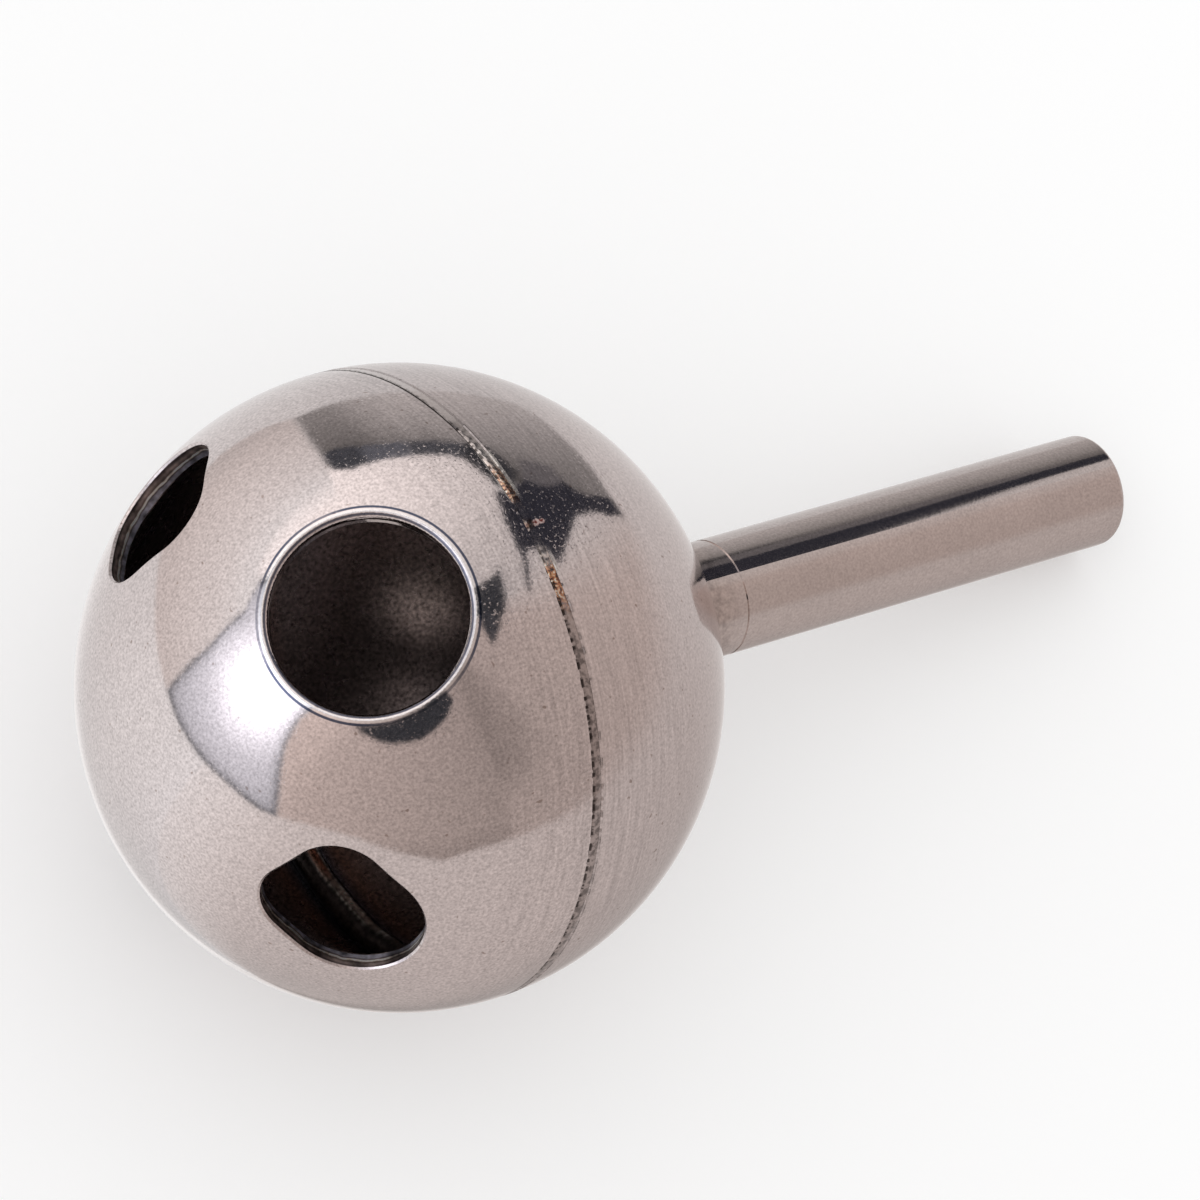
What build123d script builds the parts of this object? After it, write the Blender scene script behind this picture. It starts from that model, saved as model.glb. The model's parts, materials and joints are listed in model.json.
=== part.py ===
"""Hollow control ball of a single-lever mixing tap, in millimetres.

Two pressed half shells are welded rim to rim at the ball's equator and a plain
round stem is welded onto the upper one.  The lower half has one round outlet
and two shaped inlets, and a narrow slot for the guide pin crosses the seam on
the far side.  The ball lies as it comes to rest on a table: on both edges of
the pin slot and on the rim of the stem's end.  The origin is the ball's centre,
+X runs along the length towards the stem's end, and +Z is up.
"""

from build123d import *

import os
from math import asin, atan2, cos, hypot, radians, sin, sqrt

# Ball
ball_diameter = 27.0
wall = 0.8

# Seam: a weld band fills the gap between the rims, with a bead left inside
seam_width = 0.4
seam_notch = 0.07
seam_sink = 0.02
bead_height = 0.75
bead_width = 1.3
bead_crest = 0.5

# Stem: its reach is measured from the ball's centre to its flat end
stem_diameter = 5.15
stem_reach = 38.8
tip_break = 0.3
root_weld_radius = 0.6

# Spigot turned on the stem's root, which passes through the shell's wall
spigot_diameter = 4.0
spigot_proud = 0.4

# Fine line turned into the stem above its root
line_reach = 16.6
line_width = 0.12
line_depth = 0.05

# Round outlet: polar angles are measured from the pole opposite the stem
outlet_diameter = 7.9
outlet_roll = 0.3
outlet_polar = 57.0

# Shaped inlets: one end is half round, the other flat with large corners
inlet_width = 5.8
inlet_drop = 3.7
inlet_corner = 2.1
inlet_break = 0.12
inlet_polar = 49.3
inlet_azimuth = 73.4
inlet_turn = 29.0

# Slot for the guide pin, opposite the outlet
slot_width = 3.3
slot_length = 12.0

# Derived sizes
ball_radius = ball_diameter / 2
cavity_radius = ball_radius - wall
seam_half = seam_width / 2
stem_radius = stem_diameter / 2
spigot_radius = spigot_diameter / 2
spigot_start = cavity_radius - spigot_proud

# Tilt of the stem below level at which the slot's edges and the stem's end
# touch one floor
slot_edge_drop = sqrt(ball_radius**2 - (slot_width / 2) ** 2)
tip_core_reach = stem_reach - tip_break
tip_core_radius = stem_radius - tip_break
rest_tilt = asin((slot_edge_drop - tip_break) / hypot(tip_core_reach, tip_core_radius))
rest_tilt -= atan2(tip_core_radius, tip_core_reach)

# Directions: along the stem, square to it on the outlet's side, and sideways
centre = (0, 0, 0)
stem_dir = Vector(cos(rest_tilt), 0, -sin(rest_tilt))
crown_dir = Vector(sin(rest_tilt), 0, cos(rest_tilt))
side_dir = stem_dir.cross(crown_dir)

stem_axis = Axis(centre, stem_dir)
stem_plane = Plane(centre, x_dir=crown_dir, z_dir=stem_dir)
section_plane = Plane(centre, x_dir=crown_dir, z_dir=-side_dir)
slot_plane = Plane(centre, x_dir=stem_dir, z_dir=-crown_dir)
middle_plane = Plane(centre, x_dir=stem_dir, z_dir=side_dir)


def port_plane(polar, azimuth, turn=0):
    """Plane at the ball's centre facing a port, turned from the parallel through it."""
    around = crown_dir * cos(radians(azimuth)) + side_dir * sin(radians(azimuth))
    facing = around * sin(radians(polar)) - stem_dir * cos(radians(polar))
    parallel = stem_dir.cross(facing)
    return Plane(centre, x_dir=parallel.rotate(Axis(centre, facing), turn), z_dir=facing)


def half_ring(align_rim):
    """Section of one half shell, which stops half a seam width from the equator."""
    towards = 1 if align_rim == Align.MIN else -1
    Circle(ball_radius)
    Circle(cavity_radius, mode=Mode.SUBTRACT)
    with Locations((0, towards * seam_half)):
        Rectangle(ball_radius, ball_radius, align=(Align.MIN, align_rim), mode=Mode.INTERSECT)


def outer_rim(edge_list):
    """The edges of a cut-out that lie on the ball's outer surface."""
    mid_wall = ball_radius - wall / 2
    return edge_list.filter_by(lambda edge: edge.center().length > mid_wall)


# Guide-pin slot, cut alike through both halves and the seam between them
with BuildPart() as slot_punch:
    with BuildSketch(slot_plane):
        SlotOverall(slot_length, slot_width)
    extrude(amount=ball_diameter)

# Round outlet
with BuildPart() as outlet_punch:
    with BuildSketch(port_plane(outlet_polar, 0)):
        Circle(outlet_diameter / 2)
    extrude(amount=ball_diameter)

# Inlets, mirror images of each other about the plane of outlet and stem
with BuildPart() as inlet_punches:
    with BuildSketch(port_plane(inlet_polar, inlet_azimuth, -inlet_turn)):
        Rectangle(inlet_width, inlet_drop, align=(Align.CENTER, Align.MAX))
        fillet(vertices().group_by(Axis.Y)[0], inlet_corner)
        Circle(inlet_width / 2)
    extrude(amount=ball_diameter)
    mirror(about=middle_plane)

# Lower half shell: a pressed cup with its three ports
with BuildPart() as lower_shell:
    with BuildSketch(section_plane):
        half_ring(Align.MAX)
    revolve(axis=stem_axis)
    chamfer(edges().filter_by(GeomType.CIRCLE).sort_by(SortBy.LENGTH)[-1], seam_notch)
    add(slot_punch.part, mode=Mode.SUBTRACT)
    add(outlet_punch.part, mode=Mode.SUBTRACT)
    fillet(outer_rim(edges(Select.LAST)), outlet_roll)
    add(inlet_punches.part, mode=Mode.SUBTRACT)
    chamfer(outer_rim(edges(Select.LAST)), inlet_break)

# Upper half shell: the same cup with a hole for the stem's spigot at its pole
with BuildPart() as upper_shell:
    with BuildSketch(section_plane):
        half_ring(Align.MIN)
    revolve(axis=stem_axis)
    chamfer(edges().filter_by(GeomType.CIRCLE).sort_by(SortBy.LENGTH)[-1], seam_notch)
    add(slot_punch.part, mode=Mode.SUBTRACT)
    with BuildSketch(stem_plane):
        Circle(spigot_radius)
    extrude(amount=ball_diameter, mode=Mode.SUBTRACT)

# Seam weld: the band between the rims and the blunt bead it leaves inside
bead_top = cavity_radius - bead_height
with BuildPart() as seam_weld:
    with BuildSketch(section_plane):
        Polygon(
            (bead_top, bead_crest / 2),
            (bead_top, -bead_crest / 2),
            (cavity_radius, -bead_width / 2),
            (ball_radius, -bead_width / 2),
            (ball_radius, bead_width / 2),
            (cavity_radius, bead_width / 2),
            align=None,
        )
        Circle(cavity_radius, mode=Mode.INTERSECT)
        with Locations((ball_radius, 0)):
            Rectangle(wall + bead_height / 2, seam_width, align=(Align.MAX, Align.CENTER))
        Circle(ball_radius - seam_sink, mode=Mode.INTERSECT)
    revolve(axis=stem_axis)
    add(slot_punch.part, mode=Mode.SUBTRACT)

# Stem: a plain rod seated on the ball, with its root weld, spigot and fine line
weld_across = stem_radius + root_weld_radius
weld_along = sqrt((ball_radius + root_weld_radius) ** 2 - weld_across**2)
with BuildPart() as stem:
    with BuildSketch(section_plane):
        Rectangle(stem_radius, stem_reach, align=(Align.MIN, Align.MIN))
        Polygon((0, 0), (weld_across, weld_along), (0, weld_along), align=None)
        with Locations((weld_across, weld_along)):
            Circle(root_weld_radius, mode=Mode.SUBTRACT)
        Circle(ball_radius, mode=Mode.SUBTRACT)
        with Locations((0, spigot_start)):
            Rectangle(spigot_radius, wall + root_weld_radius, align=(Align.MIN, Align.MIN))
        with Locations((stem_radius, line_reach)):
            Rectangle(2 * line_depth, line_width, mode=Mode.SUBTRACT)
    revolve(axis=stem_axis)
    fillet(edges().sort_by(stem_axis)[-1], tip_break)

os.makedirs("parts", exist_ok=True)

lower_shell.part.label = "lower_shell"
export_step(lower_shell.part, "parts/lower_shell.step")

upper_shell.part.label = "upper_shell"
export_step(upper_shell.part, "parts/upper_shell.step")

seam_weld.part.label = "seam_weld"
export_step(seam_weld.part, "parts/seam_weld.step")

stem.part.label = "stem"
export_step(stem.part, "parts/stem.step")
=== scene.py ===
# %% [markdown]
# # A welded steel control ball for a mixing tap
#
# The real part is two pressed half shells of stainless steel, welded rim to rim,
# with a plain round stem.  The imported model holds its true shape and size.  This
# lesson gives it its finish, one step at a time: the light it is seen in, then the
# steel of each piece, then the small forms that a weld and a polishing wheel leave.

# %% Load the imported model
import json
import math

import bpy
import numpy as np
from mathutils import Matrix, Vector

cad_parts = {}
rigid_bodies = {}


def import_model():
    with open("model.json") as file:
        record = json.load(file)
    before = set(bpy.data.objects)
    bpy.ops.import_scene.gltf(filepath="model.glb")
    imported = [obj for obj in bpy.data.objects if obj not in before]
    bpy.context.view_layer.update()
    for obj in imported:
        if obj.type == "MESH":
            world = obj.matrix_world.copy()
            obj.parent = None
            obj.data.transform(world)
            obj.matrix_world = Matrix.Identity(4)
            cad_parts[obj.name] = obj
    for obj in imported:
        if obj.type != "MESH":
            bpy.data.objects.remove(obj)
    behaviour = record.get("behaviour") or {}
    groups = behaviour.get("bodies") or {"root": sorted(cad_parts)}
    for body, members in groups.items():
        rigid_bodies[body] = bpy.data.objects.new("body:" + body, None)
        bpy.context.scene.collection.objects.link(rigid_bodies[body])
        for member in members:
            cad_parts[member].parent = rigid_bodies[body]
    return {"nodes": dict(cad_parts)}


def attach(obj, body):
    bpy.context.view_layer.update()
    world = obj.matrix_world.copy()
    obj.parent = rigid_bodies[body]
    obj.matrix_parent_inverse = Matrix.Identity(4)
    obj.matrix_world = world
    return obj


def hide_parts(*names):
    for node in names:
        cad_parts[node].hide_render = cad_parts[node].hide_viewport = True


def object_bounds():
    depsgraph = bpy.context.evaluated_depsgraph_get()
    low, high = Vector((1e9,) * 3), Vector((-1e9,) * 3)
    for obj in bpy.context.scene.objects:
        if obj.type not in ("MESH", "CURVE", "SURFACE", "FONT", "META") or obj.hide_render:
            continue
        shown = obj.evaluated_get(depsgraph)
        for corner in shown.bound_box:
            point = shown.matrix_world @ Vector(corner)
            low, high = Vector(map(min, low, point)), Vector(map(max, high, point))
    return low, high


for leftover in list(bpy.data.objects):
    bpy.data.objects.remove(leftover)

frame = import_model()
cad_low, cad_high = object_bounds()
print("CAD nodes:", sorted(frame["nodes"]))
print("CAD box in mm:", [round(1000 * side, 2) for side in cad_high - cad_low])

# %% [markdown]
# ## Sizes and directions
#
# A node's place is in its mesh, so the model's own sizes are all a material needs
# to know where it is: how far from the ball's centre, and how far along the stem.

# %% Name the sizes the finishes are placed by
mm = 0.001
ball_radius = 13.5 * mm
wall = 0.8 * mm
cavity_radius = ball_radius - wall
seam_half = 0.2 * mm
slot_half = 1.65 * mm
stem_radius = 2.575 * mm
stem_tilt = math.radians(16.473)
stem_direction = Vector((math.cos(stem_tilt), 0.0, -math.sin(stem_tilt)))
crown_direction = Vector((math.sin(stem_tilt), 0.0, math.cos(stem_tilt)))
side_direction = stem_direction.cross(crown_direction)
outlet_polar = math.radians(57.0)
outlet_direction = crown_direction * math.sin(outlet_polar) - stem_direction * math.cos(outlet_polar)
# Centres of a painted glow of reflected light and of a painted shade patch, inside the upper cup
painted_glow_centre = (5.9 * mm, 6.2 * mm, -9.4 * mm)
painted_shade_centre = (4.0 * mm, 3.0 * mm, -11.7 * mm)
outlet_edge, outlet_line = 4.11 * mm, 4.41 * mm
print("Stem points along", tuple(round(part, 3) for part in stem_direction))

# %% [markdown]
# ## The camera
#
# The ball is seen from high on its left, with the camera rolled, so that the stem
# runs up to the right.  A long lens stands far off, as for any small product: the
# ball's outline is then almost a true circle.

# %% Place the camera
view_azimuth = math.radians(-143.29)
view_elevation = math.radians(66.29)
view_roll = math.radians(30.0)
view_distance = 212.56 * mm
view_aim = Vector((8.58, -0.32, 2.94)) * mm
sensor_width = 36.0
focal_length = 153.39

backwards = Vector((
    math.cos(view_elevation) * math.cos(view_azimuth),
    math.cos(view_elevation) * math.sin(view_azimuth),
    math.sin(view_elevation),
))
level_view = backwards.to_track_quat("Z", "Y")
camera_data = bpy.data.cameras.new("camera")
camera_data.lens = focal_length
camera_data.sensor_width = sensor_width
camera_data.clip_start = 1 * mm
camera_data.clip_end = 10.0
camera = bpy.data.objects.new("camera", camera_data)
bpy.context.scene.collection.objects.link(camera)
turned = level_view.to_matrix().to_4x4() @ Matrix.Rotation(view_roll, 4, "Z")
camera.matrix_world = Matrix.Translation(view_aim + backwards * view_distance) @ turned
bpy.context.scene.camera = camera
bpy.context.scene.view_settings.view_transform = "Standard"
print("Camera stands", round(view_distance / mm), "mm away")

# %% [markdown]
# ## Nodes in few words
#
# A node is added, set and wired in one call.  A socket is wired where the value is
# itself a socket, and set where it is a number or a colour.

# %% Helpers for materials
def node(tree, kind, inputs=None, **settings):
    """Adds one shader node; inputs maps a socket's name or number to a value or a socket."""
    made = tree.nodes.new("ShaderNode" + kind)
    for name, value in settings.items():
        setattr(made, name, value)
    for place, value in (inputs or {}).items():
        if isinstance(value, bpy.types.NodeSocket):
            tree.links.new(value, made.inputs[place])
        else:
            made.inputs[place].default_value = value
    return made


def new_tree(name):
    """A material with an empty node tree."""
    material = bpy.data.materials.new(name)
    material.use_nodes = True
    material.node_tree.nodes.clear()
    return material, material.node_tree


def maths(tree, operation, first, second=0.0, third=0.0):
    """One Math node's result."""
    made = node(tree, "Math", {0: first, 1: second, 2: third}, operation=operation)
    return made.outputs[0]


def blend_colour(tree, share, first, second):
    """first where share is 0 and second where it is 1."""
    made = node(tree, "Mix", {0: share, 6: first, 7: second}, data_type="RGBA")
    return made.outputs[2]


def rise(tree, value, low, high):
    """0 below low and 1 above high, smooth between."""
    inputs = {0: value, 1: low, 2: high, 3: 0.0, 4: 1.0}
    return node(tree, "MapRange", inputs, interpolation_type="SMOOTHSTEP").outputs[0]


def noise(tree, vector, scale, detail=3.0, rough=0.5):
    """Blender's noise from 0 to 1, with its middle at a half."""
    inputs = {"Vector": vector, "Scale": scale, "Detail": detail, "Roughness": rough}
    return node(tree, "TexNoise", inputs).outputs["Fac"]


# %% [markdown]
# ## Floor and world
#
# The ball lies on a plain white table.  The table's own white is lit by an even
# white sky, and a little light of its own, for what looks at it, brings it to the
# white of paper while the soft shadow under the ball stays.

# %% Floor and sky
floor_half = 3.0
floor_white = (0.84, 0.84, 0.84, 1.0)
floor_lift = 0.16

corners = np.array([(-1, -1), (1, -1), (1, 1), (-1, 1)]) * floor_half
floor_points = np.column_stack([corners, np.full(4, cad_low.z)])
floor_mesh = bpy.data.meshes.new("floor")
floor_mesh.from_pydata(floor_points.tolist(), [], [(0, 1, 2, 3)])
floor = bpy.data.objects.new("floor", floor_mesh)
bpy.context.scene.collection.objects.link(floor)

floor_paint, tree = new_tree("floor_white")
seen = node(tree, "LightPath")
lift = maths(tree, "MULTIPLY", seen.outputs["Is Camera Ray"], floor_lift)
matt = node(tree, "BsdfDiffuse", {"Color": floor_white})
glow = node(tree, "Emission", {"Color": (1, 1, 1, 1), "Strength": lift})
both = node(tree, "AddShader", {0: matt.outputs[0], 1: glow.outputs[0]})
node(tree, "OutputMaterial", {"Surface": both.outputs[0]})
floor_mesh.materials.append(floor_paint)
floor.visible_glossy = False

world = bpy.data.worlds.new("sky")
world.use_nodes = True
world.node_tree.nodes["Background"].inputs["Color"].default_value = (1, 1, 1, 1)
world.node_tree.nodes["Background"].inputs["Strength"].default_value = 1.0
bpy.context.scene.world = world

# %% [markdown]
# ## The light tent
#
# Polished steel shows little of itself and a lot of what stands round it.  A tent
# of paper panels stands round the ball: only the steel sees it.  Its brightness is
# worked out from the direction alone, from a few named panels with soft edges.

# %% Work out the tent's brightness
def curve(value, points):
    """A broken line through (value, result) points, for whole arrays."""
    places, results = zip(*points)
    return np.interp(value, places, results)


def depth_between(centre, bottom, top, left, right):
    """How many degrees a direction lies inside a panel.  Bottom and top give the panel's
    elevation at an azimuth, left and right its azimuth at an elevation."""
    across = (azimuth - centre + 180.0) % 360.0 - 180.0 + centre
    return np.minimum.reduce([
        elevation - curve(across, bottom), curve(across, top) - elevation,
        across - curve(elevation, left), curve(elevation, right) - across,
    ])


def depth_inside(outline):
    """How many degrees a direction lies inside a small convex outline of (azimuth,
    elevation) corners: the least of its distances to the sides."""
    corner = np.array(outline, float)
    middle = corner.mean(0)
    across = (azimuth - middle[0] + 180.0) % 360.0 - 180.0
    depth = np.full(azimuth.shape, np.inf)
    for start, end in zip(corner - middle, np.roll(corner - middle, -1, axis=0)):
        run = (end - start) / np.hypot(*(end - start))
        side = (across - start[0]) * run[1] - (elevation - middle[1] - start[1]) * run[0]
        depth = np.minimum(depth, side * np.sign(start[1] * run[0] - start[0] * run[1]))
    return depth


def shade_step(value, low, high):
    """0 below low and 1 above high, smooth between, for whole arrays."""
    t = np.clip((value - low) / (high - low), 0.0, 1.0)
    return t * t * (3.0 - 2.0 * t)


def lay(under, share, bright, warm):
    """Lays light of one brightness and warmth over the tent where share is 1."""
    bright, warm = np.broadcast_to(bright, share.shape), np.broadcast_to(warm, share.shape)
    red = 1 + np.where(warm > 0, 0.14, 0.05) * warm
    blue = 1 - np.where(warm > 0, 0.06, 0.16) * warm
    over = bright[..., None] * np.stack([red, np.ones(share.shape), blue], axis=-1)
    return under + share[..., None] * (over - under)


tent_step = 1.0
azimuth, elevation = np.meshgrid(
    np.arange(-180.0, 180.0, tent_step), np.arange(-90.0, 90.0 + tent_step, tent_step)
)
around, above = np.radians(azimuth), np.radians(elevation)
direction = np.stack([
    np.cos(above) * np.cos(around), np.cos(above) * np.sin(around), np.sin(above)
], axis=-1)
zenith = [(0, 90)]

# The table seen in the ball is brightest below the window and dulls away from it
everywhere = np.ones(azimuth.shape)
table_light = curve(azimuth, [
    (-180, 1.03), (-165, 0.92), (-150, 0.77), (-130, 0.69), (-90, 0.64), (-50, 0.56), (-20, 0.57),
    (10, 0.66), (30, 0.68), (48, 0.63), (62, 0.66), (75, 0.74), (90, 0.80), (130, 0.90), (150, 1.0), (180, 1.04)])
table_fall = curve(azimuth, [(-150, 0.25), (-90, 0.18), (-20, 0.35), (10, 0.0), (30, -0.25), (60, -0.45),
                             (85, -0.32), (120, 0.1), (160, 0.3)])
steepness = np.clip(-elevation / 80.0, 0.0, 1.0) ** 2
table_warm = curve(azimuth, [(-180, 0.1), (-150, 0.45), (-70, 0.7), (-20, 0.65), (20, 0.35), (60, 0.1), (130, 0.1), (180, -0.05)])
tent = lay(np.zeros(direction.shape), everywhere, table_light * (1 - table_fall * steepness), table_warm)

# The long side wall, warm grey, and its darker stretch past the corner
wall_depth = depth_between(
    -85, [(-155, 5), (-147, 9), (-138, 12), (-130, 13), (-122, 12), (-110, 10), (-103, 8.5), (-98, 10),
          (-93, 11), (-84, 11), (-72, 9.5), (-65.5, 7.5), (-56, 4.5), (-44, 2), (-30, -3), (10, -5)],
    zenith, [(5, -155), (13, -158.5), (19, -162.5), (28, -168), (37, -171.5)], [(0, 16), (60, 0)])
wall_light = curve(azimuth, [(-170, 0.76), (-160, 0.70), (-150, 0.58), (-130, 0.51), (-110, 0.455),
                             (-86, 0.395), (-83, 0.37), (-80, 0.45), (-66, 0.44), (-45, 0.48), (-20, 0.51),
                             (0, 0.54)])
corner_share = curve(azimuth, [(-83, 0), (-80.5, 1), (-70, 0.75), (-54, 0)]) * shade_step(elevation, 22.0, 40.0)
foot_share = curve(azimuth, [(-122, 0), (-110, 1), (-88, 1), (-82, 0)]) * shade_step(-wall_depth, -9.0, 0.0)
wall_light = wall_light * (1 - 0.30 * corner_share) * (1 - 0.16 * foot_share)
wall_soft = curve(azimuth, [(-75, 1.0), (-62, 2.5), (-45, 9.0), (-20, 12.0)])
tent = lay(tent, shade_step(wall_depth / wall_soft, -0.8, 1.2), wall_light * 0.97, 1.15)

# The pale ceiling beyond the outlet
ceiling_depth = depth_between(
    70, [(-5, 66), (2, 60), (8, 50), (12, 44), (18, 44), (28, 40), (38, 33), (44, 27), (53, 19),
         (66, 20), (80, 20), (88, 18), (95, 24), (132, 27)],
    zenith, [(0, -5), (90, -5)], [(20, 131), (40, 126), (60, 120)])
ceiling_light = curve(azimuth, [(10, 0.60), (40, 0.74), (70, 1.02), (95, 1.25), (120, 1.35)])
tent = lay(tent, shade_step(ceiling_depth, -1.0, 1.0), ceiling_light, 0.38)

# The window, framed by a thin dark line, and brightest at its middle
window_depth = depth_between(
    180, [(150, -8.5), (157, -8), (167, -6.5), (177, -4), (189, 0), (200, 2.5), (205, 5)],
    [(0, 66)], [(-9, 156.5), (1, 154), (12.5, 150.5), (26, 141.5), (29, 131), (60, 125)],
    [(5, 205), (13, 201.5), (19, 197.5), (28, 192), (37, 188.5), (60, 188)])
across_window = (azimuth - 170.0 + 180.0) % 360.0 - 180.0
from_middle = np.hypot(across_window, elevation - 32.0)
window_light = curve(from_middle, [(0, 2.6), (12, 2.2), (19, 1.40), (25, 1.02), (30, 0.88), (40, 0.68)])
window_light = window_light * curve(window_depth, [(0, 0.32), (1.2, 0.42), (2.4, 0.85), (5.0, 1.0)])
tent = lay(tent, shade_step(window_depth, -0.6, 0.6), window_light, -0.55)

# The near wall, from the window's post to the doorway
near_depth = depth_between(
    120, [(81.5, -16), (86.5, -20.5), (94, -23.5), (103.5, -22.5), (116.5, -19.5), (130, -14.5),
          (143, -11), (156.5, -8)],
    [(0, 33)], [(-16, 82), (1, 85.5), (16, 87.5), (30, 92)],
    [(-8, 156.5), (1, 154), (12.5, 150.5), (26, 141.5), (29, 131), (40, 126)])
near_light = curve(elevation, [(-20, 0.62), (-5, 0.74), (5, 0.80), (15, 0.86), (25, 0.97), (33, 1.15)])
near_light = near_light * curve(azimuth, [(85, 0.95), (105, 1.08), (130, 1.07)])
near_share = shade_step(near_depth, -0.8, 0.8) * shade_step(elevation, 36.0, 20.0)
tent = lay(tent, near_share, near_light, curve(elevation, [(-10, 0.6), (15, 0.3), (30, -0.05)]))

# The doorway: dark at its head and paler towards the floor
door_depth = depth_between(
    50, [(14, -6), (18, -7.5), (23, -8.5), (26.5, -11.5), (31, -14.5), (35.5, -18), (40, -22.5),
         (44, -25), (50, -21), (62, -17), (71, -16), (81.5, -16)],
    [(17, 5), (23, 10), (30, 19), (40, 24), (53, 19), (66, 20), (80, 20), (88, 18)],
    [(-4, 17), (3, 20), (12, 26)], [(-16, 82), (1, 85.5), (16, 87.5)])
door_light = curve(elevation, [(-20, 0.50), (-5, 0.43), (5, 0.36), (12, 0.27), (18, 0.17)])
door_light = door_light * curve(azimuth, [(18, 0.50), (30, 0.62), (42, 0.95), (56, 1.12), (66, 1.18), (72, 0.95),
                                          (77, 0.66), (88, 0.58)])
tent = lay(tent, shade_step(door_depth, -0.8, 1.2), door_light, 0.35)

# The dark head of the doorway, the light stand beyond the outlet, and the camera itself
dark_things = [
    ([(39, 17), (37, 25), (42, 28), (48, 24), (54, 20.5), (53, 13), (47, 11)], 0.04),
    ([(53, 13), (53, 20.5), (66, 22), (66, 15)], 0.09),
    ([(66, 15), (66, 22), (79, 23), (79, 13.5)], 0.15),
    ([(78, 12.5), (78, 22.5), (83, 23), (87.5, 20), (86.5, 11), (83, 10.5)], 0.08),
    ([(22, 55.5), (12.5, 59), (19, 61.5)], 0.06),
    ([(19, 60.5), (12.5, 58.5), (-4.5, 62), (-16.5, 71), (0.5, 73), (21, 68)], 0.05),
    ([(-8, 64.5), (-34, 67.5), (-17, 72), (2, 71)], 0.06),
    ([(-151, 49), (-147, 48), (-131, 49), (-115, 53), (-100, 59.5), (-92, 65), (-96, 69),
      (-110, 67), (-129, 59)], 0.05),
]
for outline, light in dark_things:
    tent = lay(tent, shade_step(depth_inside(outline), -0.5, 0.5), light, -1.0)

# %% Hang the tent
def only_in_reflections(thing):
    """Keeps a stage object out of sight and out of the soft light: only the steel shows it."""
    thing.visible_camera = False
    thing.visible_diffuse = False
    thing.visible_shadow = False
    bpy.context.scene.collection.objects.link(thing)


tent_radius = 0.9
rows, columns = azimuth.shape
tent_points = (direction * tent_radius).reshape(-1, 3)
index = np.arange(rows * columns).reshape(rows, columns)
ahead = np.roll(index, -1, axis=1)
tent_faces = np.stack([index[:-1], index[1:], ahead[1:], ahead[:-1]], axis=-1).reshape(-1, 4)
tent_mesh = bpy.data.meshes.new("tent")
tent_mesh.from_pydata(tent_points.tolist(), [], tent_faces.tolist())
glow_of = tent_mesh.attributes.new("glow", "FLOAT_COLOR", "POINT")
glow_of.data.foreach_set("color", np.column_stack([
    tent.reshape(-1, 3), np.ones(rows * columns)]).astype(np.float32).ravel())

tent_paint, tree = new_tree("tent_paper")
glow = node(tree, "Attribute", attribute_name="glow")
paper = node(tree, "Emission", {"Color": glow.outputs["Color"], "Strength": 1.0})
node(tree, "OutputMaterial", {"Surface": paper.outputs[0]})
tent_paint.cycles.emission_sampling = "NONE"
tent_mesh.materials.append(tent_paint)
only_in_reflections(bpy.data.objects.new("tent", tent_mesh))
print("Tent brightness from", tent.min().round(2), "to", tent.max().round(2))

# %% [markdown]
# ## A dark thing close by
#
# One reflection moves against the others as the eye goes from the ball to the stem:
# something small and dark hangs a hand's breadth away.  A flat card stands for it,
# square to the line along which the ball shows it.

# %% Hang the dark card
card_azimuth, card_elevation = math.radians(27), math.radians(22)
card_distance = 140 * mm
card_facing = Vector((
    math.cos(card_elevation) * math.cos(card_azimuth),
    math.cos(card_elevation) * math.sin(card_azimuth),
    math.sin(card_elevation),
))
card_middle = card_facing * card_distance
card_across = Vector((0, 0, 1)).cross(card_facing).normalized()
card_up = card_facing.cross(card_across)
card_outline = [(30, 31), (23, 23), (20, 0), (12, -3), (5.5, -14), (4.5, -28), (-4.5, -31), (-10, -38),
                (-16, -65), (-27, -64), (-26, -46), (-20, -30), (-16, -8), (-21, 6), (-28, 24), (-37, 44),
                (-26, 47), (-19, 53), (-14, 61), (-30, 77), (-45, 92), (-43, 95), (-16, 72), (-4, 64), (14, 51)]
dim_outline = [(20, 2), (31, -19), (14, -35), (2, -27), (5, -9)]


def hang_card(name, outline, light, distance):
    """A flat card of one dim light, hung square to the ball: distance 1 is the card's own."""
    points = [(card_middle + (card_across * x + card_up * y) * mm) * distance for x, y in outline]
    mesh = bpy.data.meshes.new(name)
    mesh.from_pydata(points, [], [tuple(range(len(points)))])
    paint, tree = new_tree(name)
    dim = node(tree, "Emission", {"Color": light, "Strength": 1.0})
    node(tree, "OutputMaterial", {"Surface": dim.outputs[0]})
    paint.cycles.emission_sampling = "NONE"
    mesh.materials.append(paint)
    only_in_reflections(bpy.data.objects.new(name, mesh))


hang_card("dark_card", card_outline, (0.036, 0.037, 0.049, 1.0), 1.0)
hang_card("dim_card", dim_outline, (0.165, 0.158, 0.165, 1.0), 1.01)

# %% [markdown]
# ## Where a point is on the ball
#
# Every finish asks the same questions of a point: how far it is from the centre,
# how far from the seam, and which way round.  The pattern's coordinates are turned
# so that X runs along the stem.  A faceted mesh would break a mirror's reflections
# into steps, so on the outside the shading follows the true sphere: the direction
# of a point from the centre is exactly its normal there.

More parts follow.
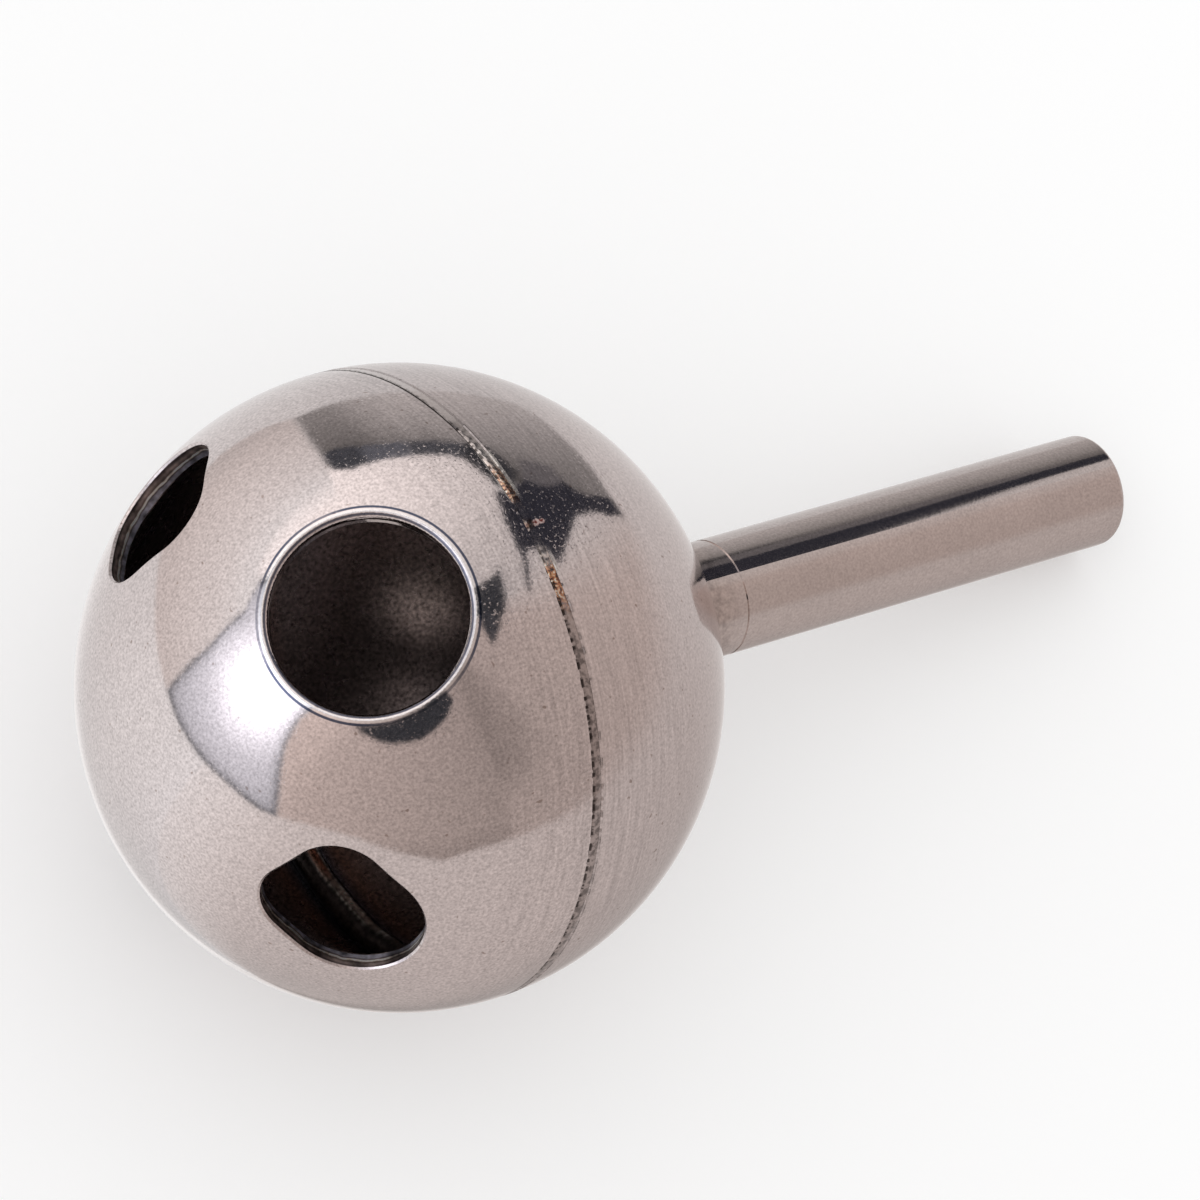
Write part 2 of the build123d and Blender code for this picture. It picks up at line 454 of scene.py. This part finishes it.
# %% Read a point's place
class Place:
    """Sockets that say where a shaded point is, in the stem's own directions."""

    def __init__(self, tree):
        self.point = node(tree, "TexCoord").outputs["Object"]
        turn = {"Vector": self.point, "Rotation": (0.0, -stem_tilt, 0.0)}
        self.turned = node(tree, "Mapping", turn).outputs[0]
        parts = node(tree, "SeparateXYZ", {0: self.turned})
        self.along, self.sideways, self.upwards = parts.outputs
        self.radius = node(tree, "VectorMath", {0: self.point}, operation="LENGTH").outputs["Value"]
        self.from_seam = maths(tree, "ABSOLUTE", self.along)
        self.round_angle = maths(tree, "ARCTAN2", maths(tree, "MULTIPLY", self.sideways, -1.0), self.upwards)


def stretched(tree, vector, along, across):
    """Coordinates scaled by one number along the stem and another square to it."""
    scales = {0: vector, 1: (along, across, across)}
    return node(tree, "VectorMath", scales, operation="MULTIPLY").outputs[0]


def sphere_normal(tree, place):
    """The true sphere's normal on the outside, and the mesh's own elsewhere."""
    outside = rise(tree, place.radius, ball_radius - 0.030 * mm, ball_radius - 0.012 * mm)
    radial = node(tree, "VectorMath", {0: place.point}, operation="NORMALIZE").outputs["Vector"]
    own = node(tree, "NewGeometry").outputs["Normal"]
    choice = node(tree, "Mix", {0: outside, 4: own, 5: radial}, data_type="VECTOR")
    return outside, choice.outputs[1]


def bumped(tree, height, depth, normal):
    """Relief from a height of 0 to 1, depth metres deep."""
    inputs = {"Strength": 1.0, "Distance": depth, "Height": height}
    if normal is not None:
        inputs["Normal"] = normal
    return node(tree, "Bump", inputs).outputs["Normal"]


def dimmed(tree, colour, factor):
    """A colour times a number."""
    return node(tree, "VectorMath", {0: colour, "Scale": factor}, operation="SCALE").outputs[0]


# %% [markdown]
# ## The two half shells
#
# Both cups are polished, and the belt on each side of the weld is then dressed flush
# on a belt grinder while the ball spins about its stem.  So the far side of the lower
# cup is a clean mirror, and towards the seam and over the upper cup the mirror turns
# soft, with fine lines that run round the stem.  Inside nothing is polished: the steel
# keeps its brown scale, straw and blue beside the weld.

# %% Finish the shells
steel = (0.655, 0.59, 0.582)
# Near-black used for the open weld joints, and as painted shade where the stem meets the ball
joint_dirt_and_shade = (0.035, 0.028, 0.026, 1.0)


def along_seam(tree, place, stops):
    """A strength that changes round the seam: pairs of degrees from the crown and a value."""
    turn = node(tree, "MapRange", {0: place.round_angle, 1: -math.pi, 2: math.pi}).outputs[0]
    ramp = node(tree, "ValToRGB", {0: turn})
    points = ramp.color_ramp.elements
    for number, (degrees, value) in enumerate(stops):
        stop = points[number] if number < 2 else points.new((degrees + 180) / 360)
        if number < 2:
            stop.position = (degrees + 180) / 360
        stop.color = (value, value, value, 1.0)
    return ramp.outputs[0]


def seam_dots(tree, place, scale):
    """One-dimensional noise round the seam, in features per millimetre."""
    travel = {"W": maths(tree, "MULTIPLY", place.round_angle, 13.5), "Scale": scale, "Detail": 1.5}
    return node(tree, "TexNoise", travel, noise_dimensions="1D").outputs["Fac"]


def from_axis(tree, place, axis):
    """Distance of a point from a line through the ball's centre."""
    along = node(tree, "VectorMath", {0: place.point, 1: tuple(axis)}, operation="DOT_PRODUCT").outputs["Value"]
    squares = maths(tree, "SUBTRACT", maths(tree, "MULTIPLY", place.radius, place.radius),
                    maths(tree, "MULTIPLY", along, along))
    return maths(tree, "MULTIPLY", maths(tree, "SQRT", squares), rise(tree, along, 0.0, 1.0 * mm))


def shell_finish(name, upper):
    """Polished outside, ground belt near the seam, brown scale inside."""
    material, tree = new_tree(name)
    place = Place(tree)
    outside, normal = sphere_normal(tree, place)
    inside = rise(tree, place.radius, cavity_radius + 0.06 * mm, cavity_radius + 0.02 * mm)

    # The notch along the rim: filled and ground flush in places, open and dirty in others
    if upper:
        opened = along_seam(tree, place, [(-180, 0.9), (-32, 0.0), (-27, 0.9), (-21, 1.0), (-9, 0.0),
                                          (1, 0.0), (5, 0.7), (30, 0.45), (60, 0.75), (180, 0.9)])
    else:
        opened = along_seam(tree, place, [(-180, 0.9), (-110, 0.9), (-95, 1.3), (-31, 1.3), (-21, 1.1), (-10, 0.8), (-4, 0.2),
                                          (2, 0.1), (4, 0.9), (28, 0.8), (70, 1.0), (180, 0.9)])
    dots = seam_dots(tree, place, 1.7 if upper else 2.7)
    wide = along_seam(tree, place, [(-180, 0.0), (-110, 0.0), (-95, 1.0), (-34, 1.0), (-22, 0.0), (180, 0.0)])
    wide = maths(tree, "MULTIPLY", wide, 0.0 if upper else 0.07 * mm)
    notch = rise(tree, maths(tree, "SUBTRACT", place.from_seam, wide),
                 seam_half + 0.10 * mm, seam_half + 0.075 * mm)
    notch = maths(tree, "MULTIPLY", notch, rise(tree, place.radius, 13.3 * mm, 13.35 * mm))
    dotted = rise(tree, maths(tree, "ADD", dots, maths(tree, "MULTIPLY", opened, 0.55)), 0.78 if upper else 0.86, 1.0)
    groove = maths(tree, "MULTIPLY", notch, maths(tree, "MULTIPLY", dotted, 0.45 if upper else 1.0))
    flush = maths(tree, "MULTIPLY", notch, maths(tree, "SUBTRACT", 1.0, dotted))
    radial = node(tree, "VectorMath", {0: place.point}, operation="NORMALIZE").outputs["Vector"]
    normal = node(tree, "Mix", {0: flush, 4: normal, 5: radial}, data_type="VECTOR").outputs[1]
    outside = maths(tree, "MAXIMUM", outside, notch)

    # Weld metal smeared over the rim where the band is widest
    smear = along_seam(tree, place, [(-180, 0.0), (-20.8, 0.0), (-19.6, 1.0), (-10.5, 1.0), (-9.3, 0.0), (1, 0.0),
                                     (2, 0.8), (4.5, 0.8), (6, 0.0), (180, 0.0)])
    smear = maths(tree, "MULTIPLY", smear, rise(tree, place.from_seam, 0.36 * mm, 0.28 * mm))

    # How much of the ground belt shows: all on the upper cup, fading down the lower one
    if upper:
        belt = rise(tree, place.along, 9.0 * mm, 2.0 * mm)
    else:
        belt = rise(tree, place.along, -6.0 * mm, -0.5 * mm)
    grain = noise(tree, place.point, 8500.0, 2.0)
    mottle = noise(tree, place.point, 900.0, 3.0)
    waves = noise(tree, place.point, 2300.0, 1.0)
    lines = noise(tree, stretched(tree, place.turned, 8000.0, 300.0), 1.0, 3.0, 0.6)
    strokes = noise(tree, stretched(tree, place.turned, 2600.0, 420.0), 1.0, 2.0, 0.5)

    # Specks: sparse dark and rusty pin holes in the polish
    specks = rise(tree, noise(tree, place.point, 3300.0, 1.0), 0.72, 0.80)
    tone = maths(tree, "MULTIPLY_ADD", grain, 0.80 if upper else 1.05, 0.60 if upper else 0.475)
    ground = maths(tree, "MULTIPLY_ADD", lines, 0.70, 0.65)
    tone = maths(tree, "MULTIPLY", tone, node(tree, "Mix", {0: belt, 2: 1.0, 3: ground}).outputs[0])
    polished = dimmed(tree, steel, tone)
    polished = blend_colour(tree, maths(tree, "MULTIPLY", specks, 0.6), polished, (0.22, 0.15, 0.12, 1.0))

    polished = blend_colour(tree, smear, polished, dimmed(
        tree, (0.80, 0.76, 0.72), maths(tree, "MULTIPLY_ADD", grain, 1.2, 0.4)))

    # A painted glint, red and white, on the upper cup beside the middle of the band
    if upper:
        painted_glint = along_seam(tree, place, [(-180, 0.0), (-5.9, 0.0), (-5.0, 1.0), (-3.3, 1.0), (-2.5, 0.0), (180, 0.0)])
        painted_glint = maths(tree, "MULTIPLY", painted_glint, rise(tree, place.from_seam, 0.95 * mm, 0.60 * mm))
        glint_breakup = noise(tree, place.point, 3400.0, 3.0)
        painted_glint = rise(tree, maths(tree, "MULTIPLY", painted_glint, maths(tree, "ADD", glint_breakup, 0.40)), 0.56, 0.70)
        # Red and white flecks that make up the painted glint
        glint_flecks = blend_colour(tree, rise(tree, grain, 0.36, 0.60), (0.28, 0.08, 0.07, 1.0), (0.98, 0.80, 0.76, 1.0))
        polished = blend_colour(tree, painted_glint, polished, glint_flecks)
        smear = maths(tree, "MAXIMUM", smear, maths(tree, "MULTIPLY", painted_glint, 1.6))

    # Fine lines round the outlet: painted shade as dark lines outside its rolled lip and at the lip's edge, and a
    # painted highlight on the lip between them
    if not upper:
        lip = from_axis(tree, place, outlet_direction)
        ring = rise(tree, maths(tree, "ABSOLUTE", maths(tree, "SUBTRACT", lip, outlet_line)), 0.065 * mm, 0.035 * mm)
        ring_patchiness = rise(tree, noise(tree, place.point, 260.0, 1.0), 0.38, 0.58)
        ring = maths(tree, "MULTIPLY", ring, maths(tree, "MULTIPLY_ADD", ring_patchiness, 0.45, 0.50))
        edge = rise(tree, maths(tree, "ABSOLUTE", maths(tree, "SUBTRACT", lip, outlet_edge)), 0.060 * mm, 0.03 * mm)
        bright = maths(tree, "MULTIPLY", rise(tree, lip, outlet_edge + 0.04 * mm, outlet_edge + 0.09 * mm),
                       rise(tree, lip, outlet_line - 0.05 * mm, outlet_line - 0.10 * mm))
        # Painted highlight: the rolled lip drawn lighter between its edge and its outer line
        polished = blend_colour(tree, maths(tree, "MULTIPLY", bright, 0.6), polished, (0.88, 0.86, 0.86, 1.0))
        # Painted shade: dark bluish lines outside the lip and at its edge, broken up by noise
        polished = blend_colour(tree, maths(tree, "MAXIMUM", ring, maths(tree, "MULTIPLY", edge, 0.85)),
                                polished, (0.05, 0.065, 0.11, 1.0))

    # Scale inside: dark, with heat colours beside the weld, a painted glow of reflected light by the stem, and a
    # painted shade patch on the upper cup
    heat = node(tree, "ValToRGB", {0: node(tree, "MapRange", {
        0: place.from_seam, 1: 0.4 * mm, 2: 4.0 * mm}).outputs[0]})
    stops = heat.color_ramp.elements
    stops[0].position, stops[0].color = 0.0, (0.10, 0.10, 0.12, 1.0)
    stops[1].position, stops[1].color = 1.0, (0.29, 0.25, 0.25, 1.0)
    for position, colour in ((0.12, (0.11, 0.12, 0.15, 1.0)), (0.30, (0.30, 0.20, 0.16, 1.0)),
                             (0.60, (0.30, 0.26, 0.245, 1.0))):
        stop = stops.new(position)
        stop.color = colour
    freckle = maths(tree, "MULTIPLY_ADD", noise(tree, place.point, 6000.0, 1.0), 2.4, -0.2)
    scale = dimmed(tree, heat.outputs[0], freckle)
    if upper:
        # Painted light: a lighter patch by the stem, where reflected light pools inside
        from_glow_centre = node(tree, "VectorMath", {0: place.point, 1: painted_glow_centre}, operation="DISTANCE").outputs["Value"]
        glow_share = rise(tree, from_glow_centre, 3.2 * mm, 0.6 * mm)
        # Painted shade: a darker patch inside the upper cup
        from_shade_centre = node(tree, "VectorMath", {0: place.point, 1: painted_shade_centre}, operation="DISTANCE").outputs["Value"]
        scale = dimmed(tree, scale, maths(
            tree, "MULTIPLY_ADD", rise(tree, from_shade_centre, 4.2 * mm, 1.5 * mm), -0.55, 1.0))
        scale = blend_colour(tree, glow_share, scale, dimmed(
            tree, (0.36, 0.315, 0.305), freckle))

    # Cut walls of the ports: torn dark near the outside, a bright line that is a painted highlight, then grey-blue
    depth = node(tree, "MapRange", {0: place.radius, 1: cavity_radius, 2: ball_radius}).outputs[0]
    torn = noise(tree, place.point, 2200.0, 3.0)
    depth = maths(tree, "MULTIPLY_ADD", maths(tree, "SUBTRACT", mottle, 0.5), 0.42, depth)
    layers = node(tree, "ValToRGB", {0: depth})
    stops = layers.color_ramp.elements
    stops[0].position, stops[0].color = 0.0, (0.42, 0.42, 0.50, 1.0)
    stops[1].position, stops[1].color = 1.0, (0.20, 0.16, 0.15, 1.0)
    # The two near-white stops draw the painted highlight line across the wall
    for position, colour in ((0.24, (0.34, 0.33, 0.38, 1.0)), (0.33, (0.10, 0.08, 0.08, 1.0)),
                             (0.38, (0.95, 0.84, 0.76, 1.0)), (0.43, (0.95, 0.84, 0.76, 1.0)), (0.50, (0.14, 0.11, 0.10, 1.0)),
                             (0.66, (0.34, 0.27, 0.25, 1.0)), (0.82, (0.10, 0.08, 0.08, 1.0))):
        stop = stops.new(position)
        stop.color = colour
    cut = dimmed(tree, layers.outputs[0], maths(tree, "MULTIPLY_ADD", torn, 4.4, -0.90))
    rim = rise(tree, place.radius, ball_radius - 0.14 * mm, ball_radius - 0.11 * mm)
    broken = maths(tree, "MULTIPLY", rim, maths(tree, "SUBTRACT", 1.0, outside))
    if not upper:
        rim = maths(tree, "MAXIMUM", rim, rise(tree, maths(tree, "ABSOLUTE", maths(
            tree, "SUBTRACT", lip, outlet_edge)), 0.40 * mm, 0.36 * mm))
    cut = blend_colour(tree, rim, cut, polished)

    colour = blend_colour(tree, inside, cut, scale)
    colour = blend_colour(tree, outside, colour, polished)
    colour = blend_colour(tree, groove, colour, joint_dirt_and_shade)

    rough = maths(tree, "MULTIPLY_ADD", belt, 0.03, 0.06 if not upper else 0.065)
    rough = maths(tree, "MULTIPLY_ADD", maths(tree, "SUBTRACT", grain, 0.5), 0.06, rough)
    walls = maths(tree, "MULTIPLY", maths(tree, "SUBTRACT", 1.0, rim), maths(tree, "SUBTRACT", 1.0, outside))
    rough = maths(tree, "MULTIPLY_ADD", walls, 0.36, rough)
    rough = maths(tree, "MULTIPLY_ADD", maths(tree, "MAXIMUM", smear, broken), 0.22, rough)
    inner_rough = maths(tree, "MULTIPLY_ADD", mottle, 0.10, 0.22)
    rough = node(tree, "Mix", {0: inside, 2: rough, 3: inner_rough}).outputs[0]
    rough = maths(tree, "MULTIPLY_ADD", groove, 0.4, rough)

    relief = maths(tree, "MULTIPLY", lines, belt)
    relief = maths(tree, "MULTIPLY_ADD", maths(tree, "MULTIPLY", strokes, belt), 1.2, relief)
    normal = bumped(tree, relief, 0.0007 * mm if upper else 0.0004 * mm, normal)
    grain_height = maths(tree, "MULTIPLY", grain, maths(tree, "MULTIPLY_ADD", belt, 0.65, 0.35))
    normal = bumped(tree, grain_height, 0.0012 * mm, normal)
    wave_height = maths(tree, "MULTIPLY", waves, maths(tree, "MULTIPLY_ADD", belt, 0.7, 0.3))
    normal = bumped(tree, wave_height, 0.0028 * mm, normal)
    nicks = rise(tree, noise(tree, place.point, 7400.0, 2.0), 0.62, 0.73)
    normal = bumped(tree, maths(tree, "MULTIPLY", nicks, maths(tree, "MULTIPLY_ADD", belt, 0.8, 0.2)), 0.0036 * mm, normal)
    shader = node(tree, "BsdfPrincipled", {
        "Base Color": colour, "Metallic": 1.0, "Roughness": rough, "Normal": normal})
    node(tree, "OutputMaterial", {"Surface": shader.outputs[0]})
    return material


# %% [markdown]
# ## The stem
#
# The stem is drawn rod: a satin surface with fine rings where it was turned true,
# and a duller root with heat stains where it is welded to the ball.  Painted shade
# darkens it where it meets the ball, and a painted highlight lies along its turned line.

# %% Finish the stem
def stem_finish(name):
    """Satin rod with faint turned rings, a root weld with heat stains, painted shade where it meets the ball and a
    painted highlight on its turned line.
    """
    material, tree = new_tree(name)
    place = Place(tree)
    grain = noise(tree, place.point, 8500.0, 2.0)
    rings = noise(tree, stretched(tree, place.turned, 7000.0, 120.0), 1.0, 3.0, 0.6)
    patches = noise(tree, stretched(tree, place.turned, 260.0, 420.0), 1.0, 3.0)
    root = rise(tree, place.along, 14.9 * mm, 14.0 * mm)
    haze = rise(tree, place.along, 16.7 * mm, 15.0 * mm)
    seat = rise(tree, place.radius, 13.72 * mm, 13.58 * mm)
    tone = maths(tree, "MULTIPLY_ADD", grain, 0.60, 0.69)
    tone = maths(tree, "MULTIPLY", tone, maths(tree, "MULTIPLY_ADD", rings, 0.14, 0.92))
    tone = maths(tree, "MULTIPLY", tone, maths(tree, "MULTIPLY_ADD", patches, 0.14, 0.93))
    colour = dimmed(tree, (0.63, 0.56, 0.54), tone)
    burn = noise(tree, place.point, 2600.0, 3.0)
    stain = blend_colour(tree, rise(tree, burn, 0.36, 0.62), (0.10, 0.065, 0.055, 1.0), (0.58, 0.49, 0.45, 1.0))
    colour = blend_colour(tree, maths(tree, "MAXIMUM", root, maths(tree, "MULTIPLY", haze, 0.35)), colour, stain)
    # Painted shade: the stem darkened where it meets the ball
    colour = blend_colour(tree, maths(tree, "MULTIPLY", seat, 0.8), colour, joint_dirt_and_shade)
    # Painted highlight: a lighter edge along the turned line
    line_place = maths(tree, "ABSOLUTE", maths(tree, "SUBTRACT", place.along, 16.6 * mm))
    line = rise(tree, line_place, 0.09 * mm, 0.05 * mm)
    colour = blend_colour(tree, maths(tree, "MULTIPLY", line, 0.2), colour, (0.72, 0.66, 0.62, 1.0))
    rough = maths(tree, "MULTIPLY_ADD", grain, 0.08, 0.07)
    rough = maths(tree, "MULTIPLY_ADD", root, 0.20, rough)
    normal = bumped(tree, rings, 0.0003 * mm, None)
    normal = bumped(tree, grain, 0.0011 * mm, normal)
    shader = node(tree, "BsdfPrincipled", {
        "Base Color": colour, "Metallic": 1.0, "Roughness": rough, "Normal": normal})
    node(tree, "OutputMaterial", {"Surface": shader.outputs[0]})
    return material


# %% [markdown]
# ## The weld
#
# The cups are welded rim to rim by an arc that runs round once: a narrow band left
# almost flush outside, where it was ground, and a bead that sagged through inside,
# which shows behind the inlets.  Each small step of the arc leaves a ripple.  The
# band is one closed profile carried round the stem, and stops at the pin slot.

# %% Carry the weld's profile round the ball
weld_steps = 1800
band_points, bead_points = 13, 23
band_toe, band_crown = 13.43 * mm, 13.485 * mm
bead_half, bead_height = 0.70 * mm, 0.80 * mm
ripple_pitch, ripple_height = 0.38 * mm, 0.006 * mm
sag_pitch, sag_height = 0.42 * mm, 0.006 * mm
chance = np.random.default_rng(7)


def weld_profile():
    """Places across the seam and radii of one closed loop: over the band, down one side,
    over the bead inside, and up the other side."""
    share = np.linspace(-1, 1, band_points)
    band = np.column_stack([share * seam_half, band_toe + (band_crown - band_toe) * (1 - share**4)])
    share = np.linspace(1, -1, bead_points)
    droop = bead_height * np.clip(1 - share**2, 0, 1) ** 0.62
    bead = np.column_stack([share * bead_half, cavity_radius + 0.02 * mm - droop])
    return band, bead


def slow_noise(places, step, seed_count):
    """A smooth random line: random heights, step apart, joined by a cubic-like curve."""
    knots = chance.normal(size=seed_count)
    position = places / step
    base = np.floor(position).astype(int)
    part = position - base
    part = part * part * (3 - 2 * part)
    return knots[base % seed_count] * (1 - part) + knots[(base + 1) % seed_count] * part


def weld_surface():
    """Point = along * stem + radius * (cos angle * crown + sin angle * side).  The angle runs
    from one flat side of the pin slot to the other: at any radius it stops where
    radius * sin angle is half the slot's width."""
    band, bead = weld_profile()
    profile = np.vstack([band, bead])
    run = np.linspace(-1, 1, weld_steps)[:, None]
    across, radius = profile[None, :, 0], profile[None, :, 1]
    stop = np.pi - np.arcsin(slot_half / radius)
    angle = run * stop
    travel = angle * ball_radius
    across = np.repeat(across, weld_steps, axis=0)
    radius = np.repeat(radius, weld_steps, axis=0)
    on_band = np.arange(profile.shape[0])[None, :] < band_points
    bow = (across / np.where(on_band, seam_half, bead_half)) ** 2
    wander = slow_noise(travel, 0.55 * mm, 311)
    pitch = np.where(on_band, ripple_pitch, sag_pitch)
    ripple = np.cos(2 * np.pi * (travel / pitch + 0.35 * bow + 0.25 * wander))
    height = np.where(on_band, ripple_height, -sag_height) * ripple
    height = height + np.where(on_band, 0.003 * mm, -0.04 * mm) * slow_noise(travel, 1.3 * mm, 97)
    edge_fade = np.where(on_band, 1 - bow**3, 1 - bow)
    height = np.where(edge_fade > 0, height * edge_fade, 0.0)
    ends = np.clip((1 - np.abs(run)) / 0.004, 0, 1)
    radius = radius + height * ends
    stem, crown, side = (np.array(v) for v in (stem_direction, crown_direction, side_direction))
    points = (across[..., None] * stem + radius[..., None]
              * (np.cos(angle)[..., None] * crown + np.sin(angle)[..., None] * side))
    return points


def closed_tube(name, points):
    """A mesh from a grid of points whose second direction closes on itself, with capped ends."""
    steps, around = points.shape[:2]
    index = np.arange(steps * around).reshape(steps, around)
    ahead = np.roll(index, -1, axis=1)
    sides = np.stack([index[:-1], ahead[:-1], ahead[1:], index[1:]], axis=-1).reshape(-1, 4)
    faces = sides.tolist() + [index[0].tolist()[::-1], index[-1].tolist()]
    mesh = bpy.data.meshes.new(name)
    mesh.from_pydata(points.reshape(-1, 3).tolist(), [], faces)
    first, second, third, fourth = (points.reshape(-1, 3)[sides[:, k]] for k in range(4))
    volume = (np.einsum("ij,ij->i", first, np.cross(second, third))
              + np.einsum("ij,ij->i", first, np.cross(third, fourth))).sum() / 6
    if volume < 0:
        mesh.flip_normals()
    mesh.shade_smooth()
    made = bpy.data.objects.new(name, mesh)
    bpy.context.scene.collection.objects.link(made)
    print(name, "has", len(sides), "faces and encloses", round(abs(volume) / mm**3, 1), "mm3")
    return made


weld = closed_tube("seam_weld_bead", weld_surface())
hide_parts("seam_weld")
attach(weld, "root")

# %% [markdown]
# ## Weld metal
#
# Fresh weld metal is a little whiter than the sheet.  The wheel has only brushed its
# crown, so the toes stay dark, and here and there the heat has left straw, brown and
# blue.  On this ball two such stains lie close together, near the outlet.

# %% Finish the weld
def weld_finish(name):
    """Brushed crown, dotted toes, heat stains at two places with painted white flecks and a painted red and white
    glint among them, and a scaly bead inside with a painted highlight along its crest.
    """
    material, tree = new_tree(name)
    place = Place(tree)
    grain = noise(tree, place.point, 9000.0, 2.0)
    blotch = noise(tree, place.point, 3800.0, 2.0)
    outside = rise(tree, place.radius, 13.1 * mm, 13.3 * mm)

    # Where the band is bright, and where it is dull and pitted, and where it is ground flush
    bright = along_seam(tree, place, [(-180, 0.1), (-29, 0.35), (-22, 0.6), (-20, 1.0), (-10.5, 1.0),
                                      (-9, 0.0), (-1, 0.1), (1, 1.0), (4, 0.55), (12, 0.15), (180, 0.1)])
    flush = along_seam(tree, place, [(-180, 0.5), (-100, 0.5), (-80, 1.0), (-30, 1.0), (-25, 0.3), (-11, 0.3),
                                     (-9, 1.0), (-5, 1.0), (-4, 0.2), (-3, 1.0), (0, 1.0), (3, 0.3), (12, 0.5),
                                     (180, 0.5)])
    dull = blend_colour(tree, rise(tree, flush, 0.6, 1.0), (0.40, 0.34, 0.33, 1.0), steel + (1.0,))
    metal = blend_colour(tree, bright, dull, (0.76, 0.71, 0.68, 1.0))
    pits = rise(tree, blotch, 0.36, 0.60)
    pit_share = maths(tree, "MULTIPLY", maths(tree, "SUBTRACT", 1.0, rise(tree, flush, 0.6, 1.0)), maths(
        tree, "MULTIPLY", maths(tree, "SUBTRACT", 1.0, bright), 0.65))
    pitted = maths(tree, "SUBTRACT", 1.0, maths(tree, "MULTIPLY", pit_share, maths(tree, "SUBTRACT", 1.0, pits)))
    colour = dimmed(tree, metal, maths(tree, "MULTIPLY", pitted, maths(tree, "MULTIPLY_ADD", grain, 0.5, 0.75)))

    # Heat stains: straw, brown and dark grains at two places, with painted white flecks among them, and between the
    # two a narrow painted red and white glint
    stains_and_glint = along_seam(tree, place, [(-180, 0.0), (-19, 0.0), (-15, 0.8), (-10, 0.9), (-8, 0.0), (-4.6, 0.0),
                                       (-3.8, 0.8), (-3, 0.0), (3, 0.2), (4.5, 1.0), (8.5, 0.9), (13, 0.0),
                                       (180, 0.0)])
    # The ramp's near-white top stop gives the painted white flecks and the glint's white
    stain = node(tree, "ValToRGB", {0: noise(tree, place.point, 7000.0, 1.5)})
    stops = stain.color_ramp.elements
    stops[0].position, stops[0].color = 0.37, (0.04, 0.022, 0.018, 1.0)
    stops[1].position, stops[1].color = 0.68, (0.86, 0.80, 0.72, 1.0)
    for position, stop_colour in ((0.46, (0.36, 0.11, 0.045, 1.0)), (0.56, (0.64, 0.34, 0.15, 1.0))):
        stops.new(position).color = stop_colour
    colour = blend_colour(tree, maths(tree, "MULTIPLY", stains_and_glint, 0.9), colour, stain.outputs[0])

    # Toes: a line of dark dots on the lower cup's side, a fainter one on the other
    dots = seam_dots(tree, place, 2.7)
    sided = rise(tree, place.along, 0.06 * mm, -0.06 * mm)
    toe = rise(tree, place.from_seam, 0.10 * mm, 0.16 * mm)
    dotted = rise(tree, dots, 0.46, 0.56)
    toe = maths(tree, "MULTIPLY", maths(tree, "MULTIPLY", toe, dotted), maths(tree, "MULTIPLY_ADD", sided, 0.6, 0.3))
    toe = maths(tree, "MULTIPLY", toe, maths(tree, "MULTIPLY", outside, maths(
        tree, "SUBTRACT", 1.0, maths(tree, "MULTIPLY", rise(tree, flush, 0.7, 1.0), 0.6))))
    colour = blend_colour(tree, toe, colour, joint_dirt_and_shade)

    # The bead inside: dark scale, with a painted highlight streak along its crest and then red beside the lower inlet
    painted_streak = along_seam(tree, place, [(-180, 0.0), (138, 0.1), (143, 0.3), (149, 0.8), (154, 1.0), (160, 0.5), (163, 0.15),
                                     (180, 0.0)])
    reddened = along_seam(tree, place, [(-180, 0.2), (158, 0.0), (164, 1.0), (170, 1.0), (180, 0.2)])
    crest = rise(tree, maths(tree, "ABSOLUTE", maths(tree, "ADD", place.along, 0.02 * mm)), 0.28 * mm, 0.04 * mm)
    # Painted highlight: a light streak along the crest beside the lower inlet
    scale = blend_colour(tree, maths(tree, "MULTIPLY", painted_streak, crest), (0.065, 0.055, 0.052, 1.0), (1.0, 0.88, 0.78, 1.0))
    scale = blend_colour(tree, maths(tree, "MULTIPLY", reddened, crest), scale, (0.44, 0.20, 0.13, 1.0))
    scale = dimmed(tree, scale, maths(tree, "MULTIPLY_ADD", blotch, 2.4, -0.2))
    inside = rise(tree, place.radius, cavity_radius + 0.1 * mm, cavity_radius)
    colour = blend_colour(tree, inside, colour, scale)
    rough = maths(tree, "MULTIPLY_ADD", grain, 0.16, 0.12)
    rough = maths(tree, "MULTIPLY_ADD", inside, 0.14, rough)
    rough = maths(tree, "MULTIPLY_ADD", maths(tree, "MULTIPLY", flush, outside), -0.07, rough)
    own = node(tree, "NewGeometry").outputs["Normal"]
    radial = node(tree, "VectorMath", {0: place.point}, operation="NORMALIZE").outputs["Vector"]
    level = maths(tree, "MULTIPLY", flush, rise(tree, place.radius, 13.40 * mm, 13.43 * mm))
    normal = node(tree, "Mix", {0: level, 4: own, 5: radial}, data_type="VECTOR").outputs[1]
    relief = maths(tree, "MULTIPLY", blotch, maths(tree, "MULTIPLY_ADD", inside, -0.6, 1.0))
    normal = bumped(tree, relief, 0.0025 * mm, normal)
    shader = node(tree, "BsdfPrincipled", {
        "Base Color": colour, "Metallic": 1.0, "Roughness": rough, "Normal": normal})
    node(tree, "OutputMaterial", {"Surface": shader.outputs[0]})
    return material


# %% Give every piece its finish
finishes = {
    "lower_shell": shell_finish("polished_steel", upper=False),
    "upper_shell": shell_finish("ground_steel", upper=True),
    "seam_weld": weld_finish("seam_weld"),
    "stem": stem_finish("stem_steel"),
}
for name, material in finishes.items():
    piece = frame["nodes"][name]
    for place in range(len(piece.material_slots)):
        piece.material_slots[place].material = material
weld.data.materials.append(finishes["seam_weld"])
